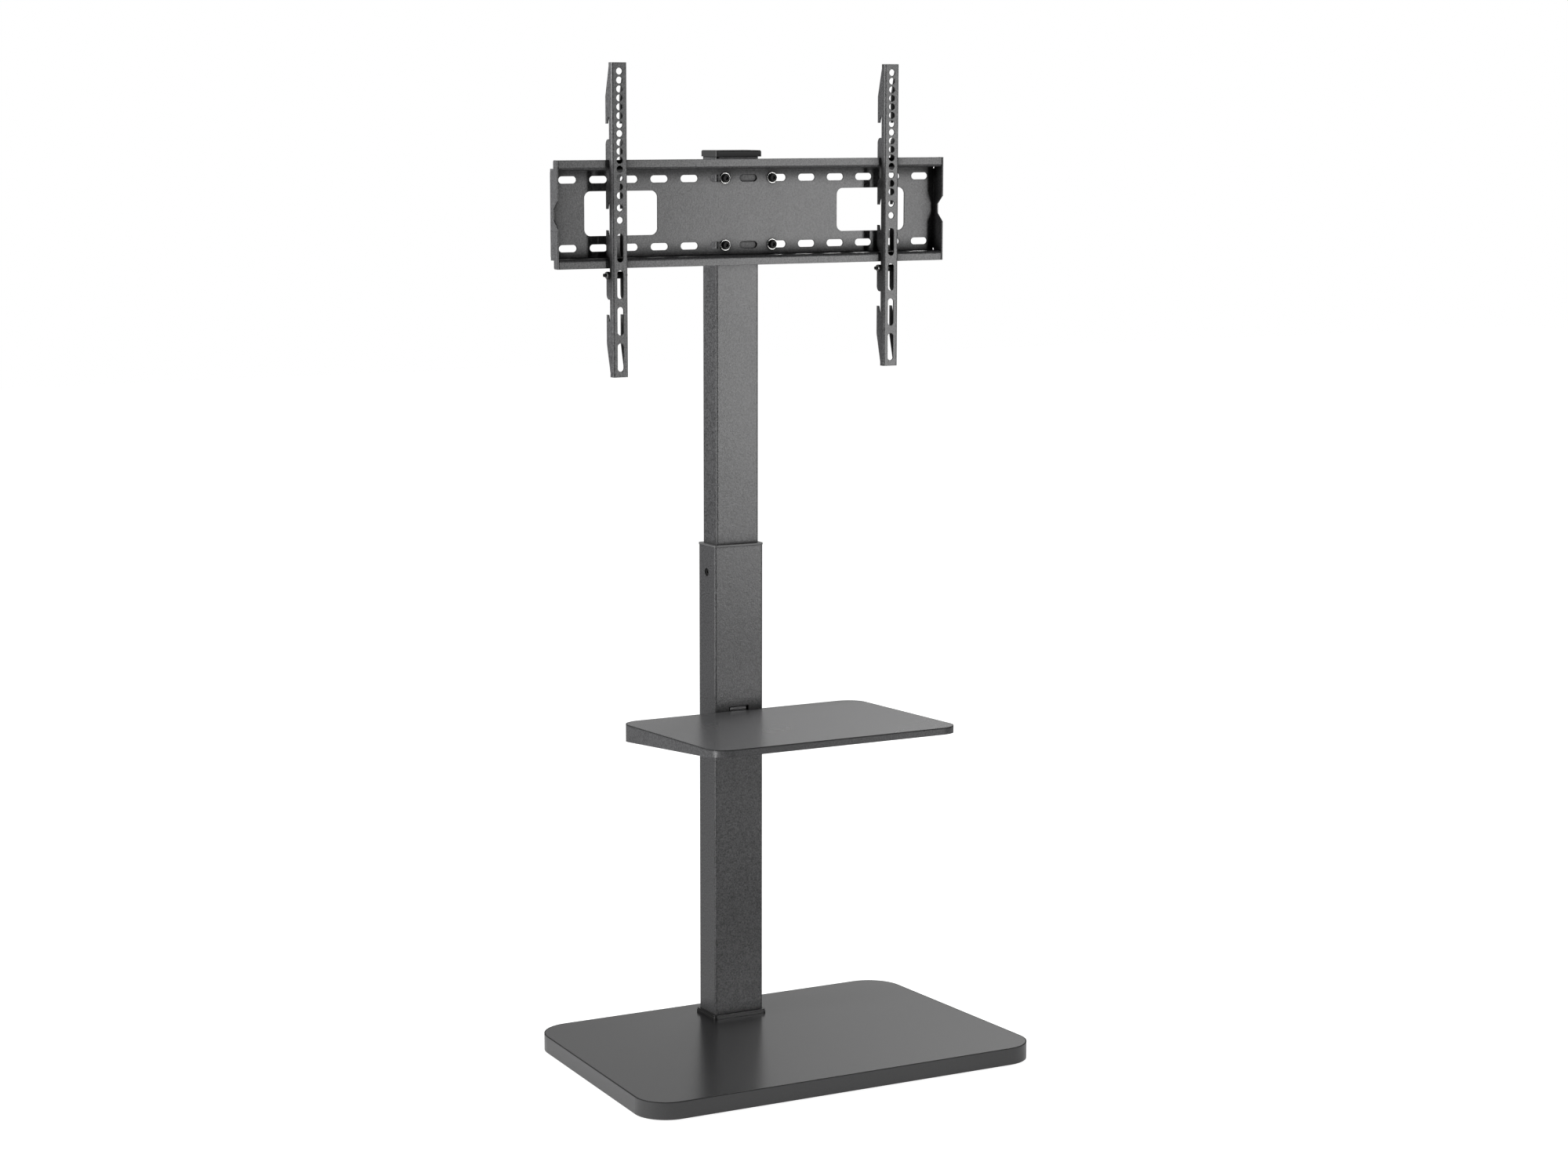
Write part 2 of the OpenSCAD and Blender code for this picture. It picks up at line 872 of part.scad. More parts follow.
module wall_plate() {
    rail_l = plate_l - 2 * plate_t - 2 * end_relief;
    web_h = channel_h - 2 * rail_r;
    color(steel_col)
        difference() {
            union() {
                for (s = [0, 1])
                    translate([0, 0, plate_z])
                        mirror([0, 0, s])
                            translate([0, 0, -plate_z])
                                along_plate(rail_l)
                                    rail_section();
                translate([-plate_l / 2 + fold_r, web_front, plate_z - web_h / 2])
                    cube([plate_l - 2 * fold_r, plate_t, web_h]);
                for (s = [0, 1])
                    mirror([s, 0, 0]) {
                        translate([plate_l / 2 - fold_r, web_back - fold_r, plate_z - web_h / 2])
                            linear_extrude(web_h)
                                fold_ring(fold_r, plate_t);
                        translate([plate_l / 2 - plate_t / 2, 0, 0])
                            along_plate(plate_t)
                                end_wall_section();
                    }
            }
            for (i = [0:slot_n - 1], sz = [-1, 1])
                translate([(i - (slot_n - 1) / 2) * slot_pitch, web_front - cut,
                    plate_z + sz * row_gap / 2])
                    to_back()
                        linear_extrude(plate_t + 2 * cut)
                            slot_shape(slot_l, slot_w);
            for (s = [-1, 1])
                translate([s * window_x, web_front - cut, plate_z + window_z])
                    to_back()
                        linear_extrude(plate_t + 2 * cut)
                            round_rect(window_w, window_h, window_r);
        }
}

module plate_washers() {
    color(zinc_col)
        at_plate_bolts()
            translate([0, -plate_washer_t, 0])
                to_back()
                    washer(plate_washer_r, plate_bolt_r, plate_washer_t);
}

// Low socket heads with a flange
module plate_bolts() {
    color(black_col)
        at_plate_bolts()
            translate([0, -plate_washer_t, 0])
                to_back() {
                    socket_screw(plate_bolt_r, plate_bolt_l, plate_bolt_head_r,
                        plate_bolt_head_h, plate_key_r, plate_key_depth);
                    translate([0, 0, -plate_bolt_flange_h])
                        cylinder(r = plate_bolt_flange_r, h = plate_bolt_flange_h);
                }
}

module plate_nuts() {
    color(black_col)
        at_plate_bolts()
            translate([0, plate_t + bracket_t, 0])
                to_back()
                    nut(plate_nut_r, plate_bolt_r, plate_nut_h);
}

// Upper half of an arm's side wall: three hooks that open downward.
// Depth is measured from the arm's front face and height from the middle of the hooks.
module hook_wall(end_z) {
    top_hook = first_hook + 2 * hook_pitch;
    square([seat_d, end_z]);
    for (i = [0:2])
        difference() {
            hook_land(first_hook + i * hook_pitch, i == 2, end_z, top_hook);
            translate([0, first_hook + i * hook_pitch])
                polygon([[seat_d, 0], [seat_d + seat_w, 0],
                    [seat_d + mouth_w, -hook_l], [seat_d + mouth_w, -hook_l - cut],
                    [seat_d, -hook_l - cut]]);
        }
}

// Full-depth land above a hook: a plain one with a round shoulder, or the tapered end
module hook_land(z, last, end_z, top_hook) {
    if (last) {
        polygon([[0, top_hook - hook_l], [arm_d, top_hook - hook_l],
            [arm_d, end_z - taper_l], [end_depth, end_z], [0, end_z]]);
    } else {
        translate([0, z - hook_l])
            square([arm_d, land_l + hook_l - land_r]);
        translate([0, z - hook_l])
            square([arm_d - land_r, land_l + hook_l]);
        translate([arm_d - land_r, z + land_l - land_r])
            circle(land_r, $fn = round_fn);
    }
}

// Plan section of an arm: a channel open toward the plate, front at Y = 0
module arm_channel() {
    difference() {
        union() {
            translate([-arm_w / 2, arm_r])
                square([arm_w, arm_d - arm_r]);
            translate([-arm_w / 2 + arm_r, 0])
                square([arm_w - 2 * arm_r, arm_r]);
            for (s = [-1, 1])
                translate([s * (arm_w / 2 - arm_r), arm_r])
                    circle(arm_r, $fn = round_fn);
        }
        translate([-arm_w / 2 + arm_t, arm_t])
            square([arm_w - 2 * arm_t, arm_d]);
    }
}

module arm(x) {
    above = arm_l / 2 - hook_off;
    below = arm_l / 2 + hook_off;
    top_z = arm_l / 2 - arm_top_hole;
    low_z = top_z - (arm_hole_n - 1) * arm_hole_pitch;
    slot_z = low_z - arm_low_hole_n * arm_low_pitch - arm_slot_start;
    color(steel_col)
        translate([x, arm_y, arm_z])
            difference() {
                intersection() {
                    translate([0, 0, -arm_l / 2])
                        linear_extrude(arm_l)
                            arm_channel();
                    translate([-arm_w / 2, 0, hook_off])
                        rotate([90, 0, 90])
                            linear_extrude(arm_w) {
                                hook_wall(above);
                                mirror([0, 1])
                                    hook_wall(below);
                            }
                }
                for (i = [0:arm_hole_n - 1])
                    arm_hole(top_z - i * arm_hole_pitch);
                for (i = [1:arm_low_hole_n])
                    arm_hole(low_z - i * arm_low_pitch);
                for (i = [0:arm_slot_n - 1])
                    translate([0, -cut, slot_z - i * arm_slot_pitch])
                        to_back()
                            linear_extrude(arm_t + 2 * cut)
                                rotate(90)
                                    slot_shape(arm_slot_l, arm_hole_d);
            }
}

// A round screw hole through the face of an arm
module arm_hole(z) {
    translate([0, -cut, z])
        to_back()
            cylinder(d = arm_hole_d, h = arm_t + 2 * cut);
}

safety_seat_x = arm_w / 2 + safety_ring_t;
safety_left_x = arm_w / 2 + safety_collar_l;

module safety_screw(x) {
    shank = safety_seat_x + safety_left_x + safety_ring_t + safety_end;
    color(black_col)
        translate([x + safety_seat_x, safety_y, safety_z])
            mirror([1, 0, 0])
                to_right()
                    socket_screw(safety_r, shank, safety_head_r, safety_head_h, safety_key_r,
                        safety_key_depth);
}

module safety_sleeve(x) {
    inner = arm_w - 2 * arm_t - 2 * safety_play;
    color(black_col)
        translate([x - inner / 2, safety_y, safety_z])
            to_right()
                washer(safety_sleeve_r, safety_r, inner);
}

module safety_collar(x) {
    color(black_col)
        translate([x - safety_left_x, safety_y, safety_z])
            to_right()
                washer(safety_collar_r, safety_r, safety_collar_l);
}

// Bright rings: one locks the screw's end, the other lies under its head
module safety_rings(x) {
    color(zinc_col)
        for (ring_x = [x - safety_left_x - safety_ring_t, x + arm_w / 2])
            translate([ring_x, safety_y, safety_z])
                to_right()
                    washer(safety_ring_r, safety_r, safety_ring_t);
}

module left_arm() { arm(left_arm_x); }
module left_safety_screw() { safety_screw(left_arm_x); }
module left_safety_sleeve() { safety_sleeve(left_arm_x); }
module left_safety_collar() { safety_collar(left_arm_x); }
module left_safety_rings() { safety_rings(left_arm_x); }
module right_arm() { arm(right_arm_x); }
module right_safety_screw() { safety_screw(right_arm_x); }
module right_safety_sleeve() { safety_sleeve(right_arm_x); }
module right_safety_collar() { safety_collar(right_arm_x); }
module right_safety_rings() { safety_rings(right_arm_x); }

base_board();
base_edge_band();
foot_pads();
under_plate();
base_bolts();
base_washers();
foot_plate();
foot_collar();
lower_column();
column_bush();
lock_insert();
lock_screw();
shelf_tray();
shelf_support();
shelf_screws();
upper_column();
column_glide();
top_cap();
bracket_nuts();
bracket_screws();
mount_bracket();
wall_plate();
plate_bolts();
plate_washers();
plate_nuts();
left_arm();
left_safety_screw();
left_safety_sleeve();
left_safety_collar();
left_safety_rings();
right_arm();
right_safety_screw();
right_safety_sleeve();
right_safety_collar();
right_safety_rings();
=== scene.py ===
"""Dresses a floor stand for a flat screen: powder coat, painted board, plastic trim and studio."""

import math

import bpy
from bpy.props import FloatProperty, FloatVectorProperty, PointerProperty
from mathutils import Matrix, Vector

bl_info = {
    "name": "Screen Stand Finishes",
    "version": (1, 0, 0),
    "blender": (4, 5, 0),
    "location": "View3D > Sidebar > Screen Stand",
    "description": "Finishes and a photo studio for a telescoping floor stand",
    "category": "Object",
}

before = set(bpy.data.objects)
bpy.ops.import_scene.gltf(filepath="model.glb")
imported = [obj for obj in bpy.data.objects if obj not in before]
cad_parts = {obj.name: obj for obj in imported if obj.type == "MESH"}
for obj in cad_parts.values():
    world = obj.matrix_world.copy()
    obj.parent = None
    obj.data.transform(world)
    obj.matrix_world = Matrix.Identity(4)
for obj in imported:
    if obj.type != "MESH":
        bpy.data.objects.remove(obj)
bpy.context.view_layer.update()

# Width of the picture that the focal length is given for, and of the camera's film
PICTURE_PIXELS = 2000.0
FILM_WIDTH = 36.0
VIEW_END = 60.0

# Lamps: name, place, what it points at, width, height and the setting with its power
LAMPS = (
    ("key_lamp", (1.29, -2.04, 1.0), (0, 0.1, 1.0), 0.26, 1.3, "key_power"),
    ("rim_lamp", (-1.68, 0.3, 1.8), (0, 0.1, 1.35), 0.3, 0.8, "rim_power"),
    ("back_lamp", (1.95, 1.85, 2.6), (0, 0, 0.4), 1.2, 1.2, "back_power"),
    ("side_strip", (-1.7, -0.42, 0.5), (-0.1, -0.1, 0.5), 0.36, 0.8, "strip_power"),
)

# How bright gloss sees the room, as steps along a direction: axis, start, end, low, high
ROOM_STEPS = (
    ("Y", -0.3, 0.2, 0.06, 0.9),
    ("Z", 0.45, 0.8, 1.0, 0.1),
    ("X", -0.35, 0.2, 0.68, 1.0),
    ("X", 0.36, 0.56, 0.72, 1.3),
    ("Z", 0.08, 0.26, 0.62, 1.0),
)

# How bright gloss sees the floor, as steps along it in metres
FLOOR_STEPS = (
    ("X", -1.0, -0.5, 0.12, 0.38),
    ("Y", -0.52, -0.38, 0.1, 1.0),
    ("Y", 0.15, 0.5, 1.0, 0.08),
)
FLOOR_HALF = 12.0
FLOOR_PAPER = 0.45
# How white the camera sees the floor, from close round the stand to far off: start, end, low, high
FLOOR_WHITE = (0.5, 2.0, 0.9, 1.0)

# A crease is closed, and its painted shade at its darkest, where less than this share of the space
# round it is open
CREASE_CLOSED = 0.3
# How much rougher the coat gets where it is darkest
DULLING = 0.5
# Upward share of the normal where the painted shade on the shelf's fold begins and ends
FOLD_FROM_RIM = (0.08, 0.25)
FOLD_TO_TOP = (0.95, 0.99)
# How dark the painted shade on the shelf's fold gets
FOLD_SHADE_DARKNESS = 0.12
# How softly the glue line ends, in metres, and how dark it is
SEAM_BLUR = 0.0005
SEAM_DARKNESS = 0.03

COATED = (
    "lower_column",
    "upper_column",
    "foot_plate",
    "under_plate",
    "shelf_support",
    "mount_bracket",
    "wall_plate",
    "left_arm",
    "right_arm",
)
SHELF = ("shelf_tray",)
MOULDED = ("column_glide", "top_cap")
GLOSSY = ("foot_collar",)
LINER = ("column_bush",)
SLEEVES = (
    "left_safety_sleeve",
    "left_safety_collar",
    "right_safety_sleeve",
    "right_safety_collar",
)
BLACK_SCREWS = (
    "plate_bolts",
    "bracket_screws",
    "shelf_screws",
    "lock_screw",
    "lock_insert",
    "plate_nuts",
    "left_safety_screw",
    "right_safety_screw",
)
ZINC_PARTS = (
    "base_bolts",
    "base_washers",
    "bracket_nuts",
    "plate_washers",
    "left_safety_rings",
    "right_safety_rings",
)


class FinishColours(bpy.types.PropertyGroup):
    """Colours of the finishes"""

    coat: FloatVectorProperty(
        name="Powder coat",
        description="Colour of the coated steel",
        subtype="COLOR",
        size=3,
        min=0,
        max=1,
        default=(0.055, 0.055, 0.0565),
    )
    # Painted light: the shelf wears the same powder coat as the steel, given a lighter colour here
    # to stand in for more light on it
    shelf: FloatVectorProperty(
        name="Shelf coat",
        description="Colour of the coated shelf",
        subtype="COLOR",
        size=3,
        min=0,
        max=1,
        default=(0.072, 0.072, 0.074),
    )
    board: FloatVectorProperty(
        name="Board",
        description="Colour of the board's painted top",
        subtype="COLOR",
        size=3,
        min=0,
        max=1,
        default=(0.013, 0.013, 0.0135),
    )
    band: FloatVectorProperty(
        name="Edge band",
        description="Colour of the band round the board",
        subtype="COLOR",
        size=3,
        min=0,
        max=1,
        default=(0.05, 0.05, 0.051),
    )
    moulded: FloatVectorProperty(
        name="Moulded trim",
        description="Colour of the plastic cap, plug and sleeves",
        subtype="COLOR",
        size=3,
        min=0,
        max=1,
        default=(0.03, 0.03, 0.03),
    )
    collar: FloatVectorProperty(
        name="Foot collar",
        description="Colour of the glossy collar round the column's foot",
        subtype="COLOR",
        size=3,
        min=0,
        max=1,
        default=(0.01, 0.01, 0.01),
    )
    liner: FloatVectorProperty(
        name="Column liner",
        description="Colour of the plastic liner in the lower column's mouth",
        subtype="COLOR",
        size=3,
        min=0,
        max=1,
        default=(0.09, 0.09, 0.091),
    )
    rubber: FloatVectorProperty(
        name="Rubber",
        description="Colour of the pads under the base",
        subtype="COLOR",
        size=3,
        min=0,
        max=1,
        default=(0.02, 0.02, 0.02),
    )
    oxide: FloatVectorProperty(
        name="Black screws",
        description="Colour of the blackened screws",
        subtype="COLOR",
        size=3,
        min=0,
        max=1,
        default=(0.012, 0.012, 0.012),
    )
    zinc: FloatVectorProperty(
        name="Zinc",
        description="Colour of the plated washers, nuts and rings",
        subtype="COLOR",
        size=3,
        min=0,
        max=1,
        default=(0.5, 0.5, 0.49),
    )


class FinishSizes(bpy.types.PropertyGroup):
    """Sizes of the surface detail"""

    coat_grain: FloatProperty(
        name="Coat grain",
        description="Width of one grain of the textured powder coat",
        subtype="DISTANCE",
        default=0.0021,
        min=0.0002,
        max=0.01,
    )
    board_grain: FloatProperty(
        name="Board grain",
        description="Width of one speck in the board's painted face",
        subtype="DISTANCE",
        default=0.0024,
        min=0.0002,
        max=0.01,
    )
    # Reach of the painted shade in folds and inner corners
    crease: FloatProperty(
        name="Crease reach",
        description="How far from a fold or a corner the coat looks darker",
        subtype="DISTANCE",
        default=0.026,
        min=0.001,
        max=0.1,
    )
    edge_round: FloatProperty(
        name="Edge rounding",
        description="Radius that the coat builds up on cut edges",
        subtype="DISTANCE",
        default=0.0012,
        min=0.0001,
        max=0.003,
    )
    screw_round: FloatProperty(
        name="Screw edge rounding",
        description="Radius on the edges of screws, nuts, washers and rings",
        subtype="DISTANCE",
        default=0.0003,
        min=0.00005,
        max=0.001,
    )
    # Reach of the painted shade on the shelf's fold
    fold_shade_reach: FloatProperty(
        name="Fold reach",
        description="How far from the shelf's fold its coat looks darker",
        subtype="DISTANCE",
        default=0.0035,
        min=0.0005,
        max=0.01,
    )
    seam_depth: FloatProperty(
        name="Seam depth",
        description="Height of the dark glue line at the top of the edge band",
        subtype="DISTANCE",
        default=0.0012,
        min=0.0002,
        max=0.01,
    )


class StudioSettings(bpy.types.PropertyGroup):
    """Camera, lamps and floor"""

    yaw: FloatProperty(
        name="Camera yaw",
        description="Turn of the camera round the stand",
        subtype="ANGLE",
        default=math.radians(-28.728),
    )
    pitch: FloatProperty(
        name="Camera height angle",
        description="Angle of the camera above the horizon",
        subtype="ANGLE",
        default=math.radians(8.523),
    )
    roll: FloatProperty(
        name="Camera roll",
        description="Roll of the camera about its view axis",
        subtype="ANGLE",
        default=math.radians(0.092),
    )
    camera_place: FloatVectorProperty(
        name="Camera place",
        description="Where the camera stands",
        subtype="TRANSLATION",
        size=3,
        default=(-2.3421, -4.2864, 1.4582),
    )
    focal_pixels: FloatProperty(
        name="Focal length in pixels",
        description="Focal length for a picture 2000 pixels wide",
        default=4183.6,
        min=100,
        max=20000,
    )
    world_light: FloatProperty(
        name="Room light",
        description="Strength of the even light from all sides",
        default=0.06,
        min=0,
        max=5,
    )
    key_power: FloatProperty(
        name="Key lamp",
        description="Power of the soft lamp in front, to the right",
        subtype="POWER",
        default=32.5,
        min=0,
        max=1000,
    )
    rim_power: FloatProperty(
        name="Rim lamp",
        description="Power of the tall soft lamp on the left, a little behind",
        subtype="POWER",
        default=47,
        min=0,
        max=1000,
    )
    strip_power: FloatProperty(
        name="Strip lamp",
        description="Power of the narrow tall lamp low on the left",
        subtype="POWER",
        default=14,
        min=0,
        max=1000,
    )
    back_power: FloatProperty(
        name="Back lamp",
        description="Power of the wide soft lamp behind, to the right",
        subtype="POWER",
        default=43,
        min=0,
        max=1000,
    )


# ---------------------------------------------------------------- node helpers


def add_node(tree, kind, **settings):
    """Adds a node, feeds the sockets that are named and sets its other properties"""
    node = tree.nodes.new(kind)
    for key, value in settings.items():
        socket = key.replace("_", " ").title()
        if socket in node.inputs:
            feed(tree, node.inputs[socket], value)
        else:
            setattr(node, key, value)
    return node


def feed(tree, socket, value):
    """Links a socket to a node's output, or gives it a plain value"""
    if isinstance(value, bpy.types.NodeSocket):
        tree.links.new(value, socket)
    else:
        socket.default_value = value


def combine(tree, kind, *values, **settings):
    """Adds a node, feeds its sockets in their order and returns its first output"""
    node = add_node(tree, kind, **settings)
    for socket, value in zip(node.inputs, values):
        feed(tree, socket, value)
    return node.outputs[0]


def math_node(tree, operation, *values):
    """Adds a Math node for sockets and plain numbers"""
    return combine(tree, "ShaderNodeMath", *values, operation=operation)


def product(tree, value, *factors):
    """Multiplies sockets with each other"""
    for factor in factors:
        value = math_node(tree, "MULTIPLY", value, factor)
    return value


def scaled_colour(tree, colour, factor):
    """A colour times a number"""
    node = add_node(
        tree, "ShaderNodeVectorMath", operation="SCALE", vector=colour, scale=factor
    )
    return node.outputs["Vector"]


def smooth_step(tree, value, start, end, low=0.0, high=1.0):
    """A smooth step from low to high while a value goes from start to end"""
    node = add_node(
        tree, "ShaderNodeMapRange", interpolation_type="SMOOTHSTEP", value=value,
        from_min=start, from_max=end, to_min=low, to_max=high,
    )
    return node.outputs["Result"]


def axis_step(tree, coordinates, axis, *step):
    """A smooth step along one axis of a place or a direction"""
    place = add_node(tree, "ShaderNodeTexCoord")
    axes = add_node(tree, "ShaderNodeSeparateXYZ", vector=place.outputs[coordinates])
    return smooth_step(tree, axes.outputs[axis], *step)


def darken(tree, shader, share):
    """Scales the shader's colour, and dulls its gloss as the colour goes dark: painted shade in
    creases and at the shelf's fold, and the band's dark glue line
    """
    colour, rough = shader.inputs["Base Color"], shader.inputs["Roughness"]
    feed(tree, colour, scaled_colour(tree, colour.links[0].from_socket, share))
    dulled = math_node(tree, "MULTIPLY_ADD", share, -DULLING, DULLING)
    feed(tree, rough, math_node(tree, "ADD", rough.links[0].from_socket, dulled))


def group_sockets(tree, inputs, outputs):
    """Gives a node group its named sockets: (name, socket type, default)"""
    for name, kind, default in inputs:
        socket = tree.interface.new_socket(name, in_out="INPUT", socket_type=kind)
        socket.default_value = default
    for name, kind in outputs:
        tree.interface.new_socket(name, in_out="OUTPUT", socket_type=kind)


def textured_finish():
    """Node group with the grain and the slow drift of a finish"""
    name = "Textured finish"
    if name in bpy.data.node_groups:
        return bpy.data.node_groups[name]
    tree = bpy.data.node_groups.new(name, "ShaderNodeTree")
    group_sockets(
        tree,
        (
            ("Color", "NodeSocketColor", (0.1, 0.1, 0.1, 1)),
            ("Grain Size", "NodeSocketFloat", 0.001),
            ("Speck", "NodeSocketFloat", 0.2),
            ("Drift", "NodeSocketFloat", 0.05),
            ("Roughness", "NodeSocketFloat", 0.5),
        ),
        (
            ("Color", "NodeSocketColor"),
            ("Roughness", "NodeSocketFloat"),
            ("Height", "NodeSocketFloat"),
        ),
    )
    source = add_node(tree, "NodeGroupInput").outputs
    sink = add_node(tree, "NodeGroupOutput").inputs
    place = add_node(tree, "ShaderNodeTexCoord").outputs["Object"]
    grain = add_node(
        tree, "ShaderNodeTexNoise", noise_dimensions="3D", vector=place,
        scale=math_node(tree, "DIVIDE", 1.0, source["Grain Size"]), detail=2.0, roughness=0.6,
    ).outputs["Fac"]
    cloud = add_node(
        tree, "ShaderNodeTexNoise", noise_dimensions="3D", vector=place, scale=9.0, detail=3.0
    ).outputs["Fac"]

    def around_one(value, amount):
        centred = math_node(tree, "SUBTRACT", value, 0.5)
        return math_node(tree, "MULTIPLY_ADD", centred, amount, 1.0)

    specks = around_one(grain, source["Speck"])
    drift = around_one(cloud, source["Drift"])
    tint = scaled_colour(tree, source["Color"], product(tree, specks, drift))
    feed(tree, sink["Color"], tint)
    feed(tree, sink["Roughness"], product(tree, source["Roughness"], drift))
    feed(tree, sink["Height"], grain)
    return tree


def finish_material(
    name, colour, *, grain_size, speck, drift, roughness, bump, metallic=0.0, specular=0.5,
    edge_round=None,
):
    """A textured finish on a Principled shader, with rounded edges where a radius is given"""
    material = bpy.data.materials.new(name)
    material.use_nodes = True
    tree = material.node_tree
    shader = tree.nodes["Principled BSDF"]
    shader.inputs["Metallic"].default_value = metallic
    shader.inputs["Specular IOR Level"].default_value = specular
    grain = add_node(
        tree, "ShaderNodeGroup", node_tree=textured_finish(), color=(*colour, 1),
        grain_size=grain_size, speck=speck, drift=drift, roughness=roughness,
    )
    relief = add_node(
        tree, "ShaderNodeBump", strength=1.0, distance=bump, height=grain.outputs["Height"]
    )
    if edge_round:
        rounding = add_node(tree, "ShaderNodeBevel", samples=4, radius=edge_round)
        feed(tree, relief.inputs["Normal"], rounding.outputs["Normal"])
    feed(tree, shader.inputs["Base Color"], grain.outputs["Color"])
    feed(tree, shader.inputs["Roughness"], grain.outputs["Roughness"])
    feed(tree, shader.inputs["Normal"], relief.outputs["Normal"])
    return material, tree, shader


def paint_crease_shade(tree, shader, reach):
    """Paints shade into the coat, dark and dull, in folds and inner corners where little space is
    open round them
    """
    openness = add_node(tree, "ShaderNodeAmbientOcclusion", samples=8, distance=reach)
    darken(tree, shader, smooth_step(tree, openness.outputs["AO"], CREASE_CLOSED, 1.0))


def paint_fold_shade(tree, shader, reach):
    """Paints a fine line of shade on the bend where the shelf's top turns down into its rim"""
    fold = add_node(tree, "ShaderNodeBevel", samples=8, radius=reach)
    facing = add_node(tree, "ShaderNodeSeparateXYZ", vector=fold.outputs["Normal"])
    rim = smooth_step(tree, facing.outputs["Z"], *FOLD_FROM_RIM, 1.0, FOLD_SHADE_DARKNESS)
    top = smooth_step(tree, facing.outputs["Z"], *FOLD_TO_TOP, FOLD_SHADE_DARKNESS, 1.0)
    darken(tree, shader, math_node(tree, "MAXIMUM", rim, top))


def darken_seam(tree, shader, depth):
    """Draws the dark glue line along the top of the band, where it meets the board"""
    top = max(corner[2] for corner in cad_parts["base_edge_band"].bound_box)
    start = top - depth
    seam = axis_step(tree, "Object", "Z", start, start + SEAM_BLUR, 1.0, SEAM_DARKNESS)
    darken(tree, shader, seam)


def dress(nodes, material):
    """Gives CAD nodes a finish"""
    for node in nodes:
        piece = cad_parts[node]
        if not piece.material_slots:
            piece.data.materials.append(material)
        for slot in piece.material_slots:
            slot.material = material


# ---------------------------------------------------------------- operators


class STAND_OT_coated_steel(bpy.types.Operator):
    """Dress columns, shelf, plate, bracket and arms in textured powder coat, with painted shade in
    creases and at the shelf's fold, and the shelf's coat painted lighter as painted light
    """

    bl_idname = "stand.coated_steel"
    bl_label = "Coat the steel"

    def execute(self, context):
        colours, sizes = context.scene.stand_colours, context.scene.stand_sizes
        coat, tree, shader = finish_material(
            "powder_coat", colours.coat, grain_size=sizes.coat_grain, speck=3.8, drift=0.1,
            roughness=0.37, bump=0.00018, edge_round=sizes.edge_round,
        )
        # Painted shade: the coat goes dark and dull in its folds and inner corners
        paint_crease_shade(tree, shader, sizes.crease)
        dress(COATED, coat)
        # The shelf's coat is the powder coat painted lighter, as painted light, with its own gloss
        coat, tree, shader = finish_material(
            "shelf_coat", colours.shelf, grain_size=sizes.coat_grain, speck=1.8, drift=0.1,
            roughness=0.27, bump=0.00014, specular=0.3, edge_round=sizes.edge_round,
        )
        # Painted shade on the bend along the shelf's fold
        paint_fold_shade(tree, shader, sizes.fold_shade_reach)
        dress(SHELF, coat)
        return {"FINISHED"}


class STAND_OT_base_board(bpy.types.Operator):
    """Dress the board, its edge band and the pads"""

    bl_idname = "stand.base_board"
    bl_label = "Finish the base"

    def execute(self, context):
        colours, sizes = context.scene.stand_colours, context.scene.stand_sizes
        face, _, _ = finish_material(
            "board_face", colours.board, grain_size=sizes.board_grain, speck=3.8, drift=0.1,
            roughness=0.23, bump=0.0001, edge_round=sizes.edge_round,
        )
        dress(("base_board",), face)
        band, tree, shader = finish_material(
            "edge_band", colours.band, grain_size=sizes.coat_grain, speck=0.3, drift=0.05,
            roughness=0.28, bump=0.00001, edge_round=sizes.edge_round,
        )
        darken_seam(tree, shader, sizes.seam_depth)
        dress(("base_edge_band",), band)
        rubber, _, _ = finish_material(
            "black_rubber", colours.rubber, grain_size=sizes.coat_grain, speck=0.3, drift=0.2,
            roughness=0.8, bump=0.00005,
        )
        dress(("foot_pads",), rubber)
        return {"FINISHED"}


class STAND_OT_moulded_trim(bpy.types.Operator):
    """Dress the cap, the column's trim, the collar and the sleeves"""

    bl_idname = "stand.moulded_trim"
    bl_label = "Finish the plastic trim"

    def execute(self, context):
        colours, sizes = context.scene.stand_colours, context.scene.stand_sizes
        moulding = {
            "grain_size": sizes.coat_grain, "speck": 0.2, "drift": 0.1,
            "edge_round": sizes.edge_round,
        }
        plastic, _, _ = finish_material(
            "black_plastic", colours.moulded, roughness=0.5, bump=0.00002, specular=0.35,
            **moulding,
        )
        dress(MOULDED + SLEEVES, plastic)
        glossy, _, _ = finish_material(
            "glossy_plastic", colours.collar, roughness=0.34, bump=0.00001, specular=0.4,
            **moulding,
        )
        dress(GLOSSY, glossy)
        liner, _, _ = finish_material(
            "grey_plastic", colours.liner, roughness=0.42, bump=0.00002, **moulding
        )
        dress(LINER, liner)
        return {"FINISHED"}


class STAND_OT_fasteners(bpy.types.Operator):
    """Dress the blackened screws and the bright zinc parts"""

    bl_idname = "stand.fasteners"
    bl_label = "Finish the fasteners"

    def execute(self, context):
        colours, sizes = context.scene.stand_colours, context.scene.stand_sizes
        plating = {
            "grain_size": sizes.coat_grain, "drift": 0.2, "bump": 0.00001,
            "edge_round": sizes.screw_round,
        }
        oxide, _, _ = finish_material(
            "black_screw", colours.oxide, speck=0.2, roughness=0.5, specular=0.14, **plating
        )
        dress(BLACK_SCREWS, oxide)
        zinc, _, _ = finish_material(
            "zinc", colours.zinc, speck=0.15, roughness=0.42, metallic=1.0, **plating
        )
        dress(ZINC_PARTS, zinc)
        return {"FINISHED"}


def lamp(name, place, aim, width, height, power):
    """A soft rectangular lamp that the camera doesn't see"""
    data = bpy.data.lights.new(name, "AREA")
    data.shape = "RECTANGLE"
    data.size = width
    data.size_y = height
    data.energy = power
    light = bpy.data.objects.new(name, data)
    light.location = place
    direction = Vector(aim) - Vector(place)
    light.rotation_euler = direction.to_track_quat("-Z", "Y").to_euler()
    light.visible_camera = False
    bpy.context.scene.collection.objects.link(light)


